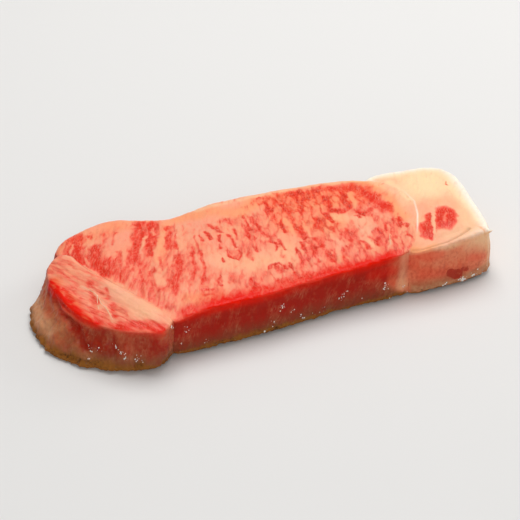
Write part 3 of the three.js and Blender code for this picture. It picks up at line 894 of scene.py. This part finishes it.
def meat_finish(colours):
    """Marbled on the cut, brown on the walls and seared at the foot."""
    make = Finish("marbled_meat")
    place = make.place
    grain = make.attribute("grain", "Vector")
    names = ("lean", "cream", "warm", "cut", "rim", "sear", "highlight_and_band", "calm", "net_share")
    lean, cream, warm, cut, rim, sear, highlight_and_band, calm, net_share = map(make.attribute, names)

    # Where lean meets fat on the cut
    patches = make.noise(grain, (4.5, 14, 9), 1, 2, 0.5, 0.3)
    blobs = make.noise(grain, (2.2, 5.6, 5), 15, 1, 0.5, 0.6)
    threads = make.noise(grain, (1.3, 3.4, 3), 2, 1, 0.5, 0.6)
    mottle = make.noise(grain, (1.8, 3.6, 3), 6, 1)
    edges = make.cell_edges(grain, (5, 10.5, 9), 22, 7.0)
    soft = lean + (patches - 0.5) * 0.6
    net = (1 - edges.smooth(0.02, 0.26)) * net_share
    flecks = ((blobs - 0.5) * 1.2 + (threads - 0.5) * 0.5) * (1 - calm * 0.6)
    share = soft + flecks + net * 0.36 - 0.14 - 0.1 * net_share
    blush = (soft + (blobs - 0.5) * 0.9).smooth(0.05, 0.85)
    pink = share.smooth(0.28, 0.84)
    red = share.smooth(0.6, 1.1)
    deep = share.smooth(1.0, 1.45)
    dashes = make.noise(grain, (1.9, 7, 5), 31, 0.5).smooth(0.6, 0.7)
    pale_lines = make.ridges(grain, (1.2, 4.4, 3), 4, 0.8)
    dark_lines = make.ridges(grain, (1.6, 6, 4), 5, 0.84)

    cloud = make.noise(place, 15, 7, 2)
    fat = make.mix((warm + (cloud - 0.5) * 0.9).clamp(), colours.fat, colours.warm_fat)
    fat = make.mix((cream + (cloud - 0.5) * 0.35).clamp(), fat, colours.ivory)
    # Painted highlight: whiter fat on the fat end's right and back edges and along the back edge of the cut
    fat = make.mix(highlight_and_band, fat, colours.highlight_white_fat)
    top = make.mix((blush * 0.85 + (mottle - 0.5) * 0.3).clamp(), fat, colours.blush)
    warmth = warm.smooth(0.15, 0.8)
    top = make.mix(pink * 0.85, top, make.mix(warmth, colours.pink_lean, colours.warm_lean))
    top = make.mix((red * 0.9 + (mottle - 0.5) * red * 0.8).clamp(), top, colours.lean)
    outline = (1 - edges.smooth(0.0, 0.12)) * soft.smooth(0.3, 0.6) * mottle.smooth(0.4, 0.6) * net_share
    marks = (outline * 0.3 + dashes * 0.35 + dark_lines * 0.15) * soft.smooth(0.1, 0.45) * (0.4 + 0.6 * pink)
    dark = (deep * 0.45 + marks) * (1 - 0.5 * calm)
    top = make.mix(dark.clamp(), top, colours.deep_lean)
    top = make.mix(pale_lines * pink * 0.38, top, colours.fat)
    top = make.mix((rim * (0.4 + 1.4 * blobs)).clamp(), top, colours.hot_rim)
    # The membrane line: partly the membrane's own white, partly a painted highlight where the line catches
    # the light, kept between about y -16 and 24 mm
    line = (1 - make.attribute("membrane").smooth(0.1, 0.75)) * make.attribute("membrane_line_and_highlight_share")
    top = make.mix((line * (0.35 + blobs) * 0.8).clamp(), top, colours.highlight_white_fat)
    fold = 1 - make.attribute("lip").smooth(0.2, 1.6)
    top = make.mix(fold * 0.4, top, colours.cooked_fat)

    # The walls, raw above and cooked below
    stripe = make.noise(grain, (2.4, 2.4, 13), 8, 3, 0.6)
    fine_stripe = make.noise(grain, (0.9, 0.9, 6), 9, 2, 0.6)
    speck = make.noise(place, 1.5, 18, 1)
    painted_sheen_lines = make.ridges(grain, (1.5, 1.5, 9), 19, 0.75)
    blotch = make.noise(place, (6, 6, 8), 14, 3, 0.55)
    stripes = ((stripe - 0.5) * 0.5 + (fine_stripe - 0.5) * 0.3) * (1 - calm * 0.8)
    specks = (speck - 0.5) * (0.55 + 0.5 * calm)
    side_fat = (make.attribute("fat_side") + stripes + (blotch - 0.5) * 0.8 + specks).clamp()
    side_raw_fat = make.mix((cream + (cloud - 0.5) * 0.5).clamp(), colours.wall_fat, colours.wall_cream)
    # The walls' lean is darker than the cut's, partly as painted shade
    side = make.mix(side_fat, colours.wall_lean_and_shade, side_raw_fat)
    side_cooked_fat = make.mix(cream * 0.6, colours.cooked_fat, colours.wall_cream)
    side_cooked = make.mix(side_fat, colours.cooked_lean, side_cooked_fat)
    cooked = (make.attribute("cooked") + stripes + (blotch - 0.5) * 0.7 + specks * 0.6).clamp()
    side = make.mix(cooked, side, side_cooked)
    # Painted sheen: thin pale streaks on the walls stand in for the shine of wet fibres
    side = make.mix(painted_sheen_lines * blotch.smooth(0.45, 0.65) * 0.1, side, colours.wall_cream)
    side = make.mix((lean + (speck - 0.5) * 1.2).smooth(1.0, 1.6) * 0.9, side, colours.wall_lean_and_shade)
    side = make.mix((rim * 0.8).clamp(), side, colours.hot_rim)
    # Painted highlight on the fat end's right- and back-facing walls, with the membrane's own pale band
    side = make.mix(highlight_and_band * 0.8, side, make.mix(0.5, colours.ivory, colours.wall_cream))

    crumb = make.noise(place, 1.5, 10, 3, 0.65)
    scorch = make.noise(place, 6, 11, 3, 0.6)
    golden = (crumb * 0.6 + scorch * 0.6 - 0.1 * make.attribute("under")).smooth(0.36, 0.62)
    crust = make.mix(golden, colours.dark_crust, colours.gold_crust)
    seared = (sear + (blotch - 0.5) * 0.6 + (crumb - 0.5) * 0.3).smooth(0.2, 0.85)
    side = make.mix(seared, side, crust)
    colour = make.mix(cut, side, top)

    pores = make.noise(place, 0.55, 12, 2)
    skin = make.noise(place, (1.6, 1.6, 5), 13, 3)
    height = (1 - pink) * cut * 0.3 + skin * 0.6 + pores * 0.25 + crumb * sear * 1.4
    normal = make.bump(height, 0.35)
    roughness = (0.38 - 0.12 * pink * cut + 0.25 * seared * (1 - cut) + (skin - 0.5) * 0.3).clamp()
    coat = ((0.07 - 0.05 * seared) * (1 - rim)).clamp()
    return make.finish(
        Base_Color=colour,
        Roughness=roughness,
        Coat_Weight=coat,
        Coat_Roughness=0.18,
        Subsurface_Weight=0.12,
        Subsurface_Radius=(1.0, 0.35, 0.2),
        Subsurface_Scale=0.003,
        Specular_IOR_Level=0.09,
        Normal=normal,
    )


def bead_finish(colours):
    make = Finish("glinting_melted_fat")
    tone = make.noise(make.place, 4, 1)
    # Painted highlight: the beads are near-white and stand in for the glints on melted fat
    colour = make.mix(tone.smooth(0.55, 0.7) * 0.6, colours.glinting_melted_fat, colours.wall_fat)
    return make.finish(
        Base_Color=colour,
        Roughness=0.08,
        Coat_Weight=1.0,
        Coat_Roughness=0.03,
        Subsurface_Weight=0.3,
        Subsurface_Scale=0.002,
    )


def crumb_finish(colours):
    make = Finish("seared_crumbs")
    tone = make.noise(make.place, 2.2, 1, 3, 0.6)
    fine = make.noise(make.place, 0.5, 2, 3)
    colour = make.mix((tone * 0.7 + fine * 0.4).smooth(0.3, 0.6), colours.dark_crust, colours.gold_crust)
    return make.finish(
        Base_Color=colour,
        Roughness=(0.35 + 0.4 * fine).clamp(),
        Coat_Weight=0.4,
        Coat_Roughness=0.15,
        Normal=make.bump(fine, 0.25),
    )


def strand_finish(colours):
    make = Finish("membrane")
    tone = make.noise(make.place, 3, 1, 2)
    colour = make.mix(tone.smooth(0.35, 0.7), colours.membrane, colours.ivory)
    height = make.node("SeparateXYZ", {}, {"Vector": make.place}, "Z")
    colour = make.mix(height.smooth(0.019, 0.014) * 0.7, colour, colours.cooked_fat)
    return make.finish(
        Base_Color=colour,
        Roughness=(0.3 + 0.25 * tone).clamp(),
        Coat_Weight=0.4,
        Subsurface_Weight=0.2,
        Subsurface_Scale=0.002,
        Normal=make.bump(make.noise(make.place, (0.4, 0.4, 1.4), 2), 0.15),
    )


def floor_finish(colours):
    make = Finish("pale_floor")
    tone = make.noise(make.place, 40, 1, 3)
    return make.finish(Base_Color=colours.floor_colour, Roughness=(0.62 + 0.1 * tone).clamp())


# Modelling helpers


def choose(*objects):
    """Selects these objects alone, the last of them active."""
    if bpy.context.object and bpy.context.object.mode != "OBJECT":
        bpy.ops.object.mode_set(mode="OBJECT")
    bpy.ops.object.select_all(action="DESELECT")
    for one in objects:
        one.select_set(True)
        bpy.context.view_layer.objects.active = one


def dress(piece, finish):
    """Gives a finished piece its body, slot and material."""
    piece.data.materials.clear()
    piece.data.materials.append(finish)
    choose(piece)
    bpy.ops.object.shade_smooth()
    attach(piece, BODY)
    choose()


def scatter(name, template, matrices):
    """One piece made of copies of a template, each at its own place, turn and size."""
    copies = []
    for matrix in matrices:
        copy = bpy.data.objects.new(name, template.data.copy())
        copy.data.transform(matrix)
        bpy.context.collection.objects.link(copy)
        copies.append(copy)
    bpy.data.objects.remove(template)
    choose(*copies)
    bpy.ops.object.join()
    piece = bpy.context.object
    piece.name = name
    piece.data.name = name
    return piece


def settled(normal, spin, sizes):
    """A turn that lays a small piece flat on a surface, with its size along each of its own axes."""
    turn = Vector((0, 0, 1)).rotation_difference(normal).to_matrix().to_4x4()
    return turn @ Matrix.Rotation(spin, 4, "Z") @ Matrix.Diagonal((*sizes, 1))


def strew(name, template, zone, weigh, seed, count, shape):
    """Copies of a template at random points of the meat.

    The zone limits the points' height and facing, and says how far a copy sinks in and how high its
    middle stays, as shares of its radius. weigh gives the chance of each point, and shape gives a copy's
    radius and its stretch along each of its own axes.
    """
    heights, facings, sink, lift = zone
    place, facing = points_of(bpy.data.objects[MEAT].data)
    height, up = place[:, 2] / MM, facing[:, 2]
    inside = (height > heights[0]) & (height < heights[1]) & (up > facings[0]) & (up < facings[1])
    spots = np.flatnonzero(inside)
    draw = random.Random(seed)
    matrices = []
    for spot in draw.choices(list(spots), weights=list(weigh(place[spots] / MM)), k=count):
        where, normal = Vector(place[spot]), Vector(facing[spot])
        radius, stretch = shape(draw, where)
        where -= normal * radius * sink
        where.z = max(where.z, radius * lift)
        turn = settled(normal, draw.uniform(0, 6.28), [radius * share for share in stretch])
        matrices.append(Matrix.Translation(where) @ turn)
    return scatter(name, template, matrices)


class STEAK_OT_meat(bpy.types.Operator):
    """Carve the grain, the fibres and the crust into a copy of the solid"""

    bl_idname = "steak.meat"
    bl_label = "Meat"

    def execute(self, context):
        scene = context.scene
        sizes = scene.steak_sizes
        choose(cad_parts[CAD_NODE])
        bpy.ops.object.duplicate()
        meat = context.object
        meat.name = MEAT
        meat.data.name = MEAT
        bpy.ops.object.mode_set(mode="EDIT")
        bpy.ops.mesh.select_all(action="SELECT")
        bpy.ops.mesh.remove_doubles(threshold=1e-6)
        bpy.ops.object.mode_set(mode="OBJECT")
        remesh = meat.modifiers.new("Even mesh", "REMESH")
        remesh.mode = "VOXEL"
        remesh.voxel_size = sizes.voxel
        bpy.ops.object.modifier_apply(modifier=remesh.name)
        flat = meat.vertex_groups.new(name="Underside")
        place, facing = points_of(meat.data)
        under = np.flatnonzero((place[:, 2] < 0.3 * MM) & (facing[:, 2] < -0.9))
        flat.add([int(i) for i in under], 1, "REPLACE")
        thin = meat.modifiers.new("Wider underside mesh", "DECIMATE")
        thin.vertex_group = flat.name
        thin.ratio = 1 - len(under) / len(place) * (1 - sizes.underside_share)
        bpy.ops.object.modifier_apply(modifier=thin.name)
        meat.vertex_groups.clear()
        mesh = meat.data
        if len(mesh.polygons) < FEWEST_FACES:
            raise RuntimeError("the meat's mesh came out empty")
        flesh = Flesh(mesh)
        lean = flesh.lean_share()
        for name, values in flesh.finish_values(lean).items():
            set_values(mesh, name, values)

        moved = flesh.place + flesh.facing * flesh.relief(sizes, lean)[:, None]
        moved[:, 2] = np.maximum(moved[:, 2], 0)
        mesh.vertices.foreach_set("co", (moved * MM).astype(np.float32).ravel())
        mesh.update()
        dress(meat, meat_finish(scene.steak_colours))
        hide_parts(CAD_NODE)
        return {"FINISHED"}


class STEAK_OT_beads(bpy.types.Operator):
    """Scatter beads of melted fat over the walls"""

    bl_idname = "steak.beads"
    bl_label = "Melted fat"

    def execute(self, context):
        scene = context.scene
        sizes = scene.steak_sizes

        def weigh(place):
            weight = 0.003 * bell(place[:, 2] - 5, 5)
            for spot in BEAD_SPOTS:
                weight = weight + bell(np.linalg.norm(place - spot, axis=1), BEAD_SPOT_REACH)
            return weight

        def shape(draw, where):
            radius = sizes.bead_size * draw.uniform(0.4, 1) ** 2.4
            radius *= LARGE_BEAD_SCALE if where.x > LARGE_BEADS_FROM * MM else 1
            return radius, (1, draw.uniform(0.8, 1.25), draw.uniform(0.5, 0.75))

        choose()
        bpy.ops.mesh.primitive_ico_sphere_add(subdivisions=1, radius=1)
        beads = strew(BEADS, context.object, BEAD_ZONE, weigh, 41, sizes.bead_count, shape)
        choose(beads)
        rounding = beads.modifiers.new("Rounding", "SUBSURF")
        rounding.levels = rounding.render_levels = 1
        bpy.ops.object.modifier_apply(modifier=rounding.name)
        dress(beads, bead_finish(scene.steak_colours))
        return {"FINISHED"}


class STEAK_OT_crumbs(bpy.types.Operator):
    """Stick crumbs of seared crust to the foot"""

    bl_idname = "steak.crumbs"
    bl_label = "Crust crumbs"

    def execute(self, context):
        scene = context.scene
        sizes = scene.steak_sizes

        def weigh(place):
            return bell(place[:, 2] - 1.4, 1.6)

        def shape(draw, where):
            radius = sizes.crumb_size * draw.uniform(0.3, 1) ** 1.4
            return radius, (draw.uniform(0.7, 1.3), draw.uniform(0.7, 1.2), draw.uniform(0.4, 0.7))

        choose()
        bpy.ops.mesh.primitive_ico_sphere_add(subdivisions=2, radius=1)
        template = context.object
        for vertex in template.data.vertices:
            vertex.co *= 1 + 0.45 * noise.noise(vertex.co * 1.7 + Vector((3.1, 0.4, 7.7)))
        crumbs = strew(CRUMBS, template, CRUMB_ZONE, weigh, 17, sizes.crumb_count, shape)
        dress(crumbs, crumb_finish(scene.steak_colours))
        return {"FINISHED"}


class STEAK_OT_strands(bpy.types.Operator):
    """Lay strands of membrane over the cut and down the left wall"""

    bl_idname = "steak.strands"
    bl_label = "Membrane strands"

    def execute(self, context):
        scene = context.scene
        mesh = bpy.data.objects[MEAT].data
        surface = BVHTree.FromPolygons([v.co for v in mesh.vertices], [p.vertices for p in mesh.polygons])
        curve = bpy.data.curves.new(STRANDS, "CURVE")
        curve.dimensions = "3D"
        curve.bevel_depth = scene.steak_sizes.strand_width / 2
        curve.bevel_resolution = 1
        curve.resolution_u = 6
        curve.use_fill_caps = True
        paths = [[self.on_cut(surface, point) for point in strand] for strand in CUT_STRANDS]
        paths += [[self.on_wall(surface, point) for point in strand] for strand in WALL_STRANDS]
        for path in paths:
            spline = curve.splines.new("NURBS")
            spline.points.add(len(path) - 1)
            spline.order_u = 3
            spline.use_endpoint_u = True
            for i, (point, where) in enumerate(zip(spline.points, path)):
                point.co = (*where, 1)
                point.radius = 0.35 + 0.65 * math.sin(math.pi * (i + 0.5) / len(path))
        strands = bpy.data.objects.new(STRANDS, curve)
        context.collection.objects.link(strands)
        choose(strands)
        bpy.ops.object.convert(target="MESH")
        dress(strands, strand_finish(scene.steak_colours))
        return {"FINISHED"}

    def on_cut(self, surface, point):
        hit, _, _, _ = surface.ray_cast(Vector((point[0] * MM, point[1] * MM, 0.06)), Vector((0, 0, -1)))
        if hit is None:
            raise RuntimeError(f"a strand misses the cut at {point}")
        return hit

    def on_wall(self, surface, point):
        near, _, _, _ = surface.find_nearest(Vector(point) * MM)
        return near


class STEAK_OT_stage(bpy.types.Operator):
    """Set the floor, the lights and the camera"""

    bl_idname = "steak.stage"
    bl_label = "Stage"

    def execute(self, context):
        scene = context.scene
        stage = scene.steak_stage
        choose()
        bpy.ops.mesh.primitive_plane_add(size=FLOOR_SIZE, location=(0, 0, -FLOOR_DROP))
        floor = context.object
        floor.name = FLOOR
        floor.data.materials.append(floor_finish(stage))

        world = bpy.data.worlds.new("Studio")
        world.use_nodes = True
        background = world.node_tree.nodes["Background"]
        background.inputs["Color"].default_value = (1, 1, 1, 1)
        background.inputs["Strength"].default_value = SKY_STRENGTH
        scene.world = world
        target = Vector(stage.aim)
        for light in LIGHTS:
            self.light(target, *light)

        turn, lift = stage.azimuth, stage.elevation
        back = Vector((math.sin(turn) * math.cos(lift), -math.cos(turn) * math.cos(lift), math.sin(lift)))
        right = Vector((math.cos(turn), math.sin(turn), 0))
        up = back.cross(right)
        centre = target + (up - right) * stage.offset
        bpy.ops.object.camera_add(location=centre + back * stage.distance)
        camera = context.object
        camera.rotation_euler = Matrix((right, up, back)).transposed().to_euler()
        camera.data.lens = stage.focal_length
        camera.data.sensor_width = SENSOR_WIDTH
        camera.data.clip_start = 0.05
        scene.camera = camera
        scene.view_settings.view_transform = "Standard"
        return {"FINISHED"}

    def light(self, target, name, place, size, energy, shade):
        bpy.ops.object.light_add(type="AREA", location=place)
        lamp = bpy.context.object
        lamp.name = name
        lamp.data.size = size
        lamp.data.energy = energy
        lamp.data.color = shade
        lamp.rotation_euler = (target - Vector(place)).to_track_quat("-Z", "Y").to_euler()


class STEAK_PT_panel(bpy.types.Panel):
    """The steps, in the order in which they run"""

    bl_idname = "STEAK_PT_panel"
    bl_label = "Marbled steak"
    bl_space_type = "VIEW_3D"
    bl_region_type = "UI"
    bl_category = "Steak"

    def draw(self, context):
        for step in STEPS:
            self.layout.operator(step.bl_idname)
        for group in (context.scene.steak_sizes, context.scene.steak_colours, context.scene.steak_stage):
            box = self.layout.box()
            for name in group.__annotations__:
                box.prop(group, name)


STEPS = (STEAK_OT_meat, STEAK_OT_beads, STEAK_OT_crumbs, STEAK_OT_strands, STEAK_OT_stage)
GROUPS = {"steak_sizes": SteakSizes, "steak_colours": SteakColours, "steak_stage": SteakStage}


def register():
    for one in (*GROUPS.values(), *STEPS, STEAK_PT_panel):
        bpy.utils.register_class(one)
    for name, group in GROUPS.items():
        setattr(bpy.types.Scene, name, PointerProperty(type=group))


def unregister():
    for name in GROUPS:
        delattr(bpy.types.Scene, name)
    for one in (STEAK_PT_panel, *STEPS[::-1], *GROUPS.values()):
        bpy.utils.unregister_class(one)


def main():
    register()
    bpy.ops.steak.meat()
    bpy.ops.steak.beads()
    bpy.ops.steak.crumbs()
    bpy.ops.steak.strands()
    bpy.ops.steak.stage()


if __name__ == "__main__":
    main()
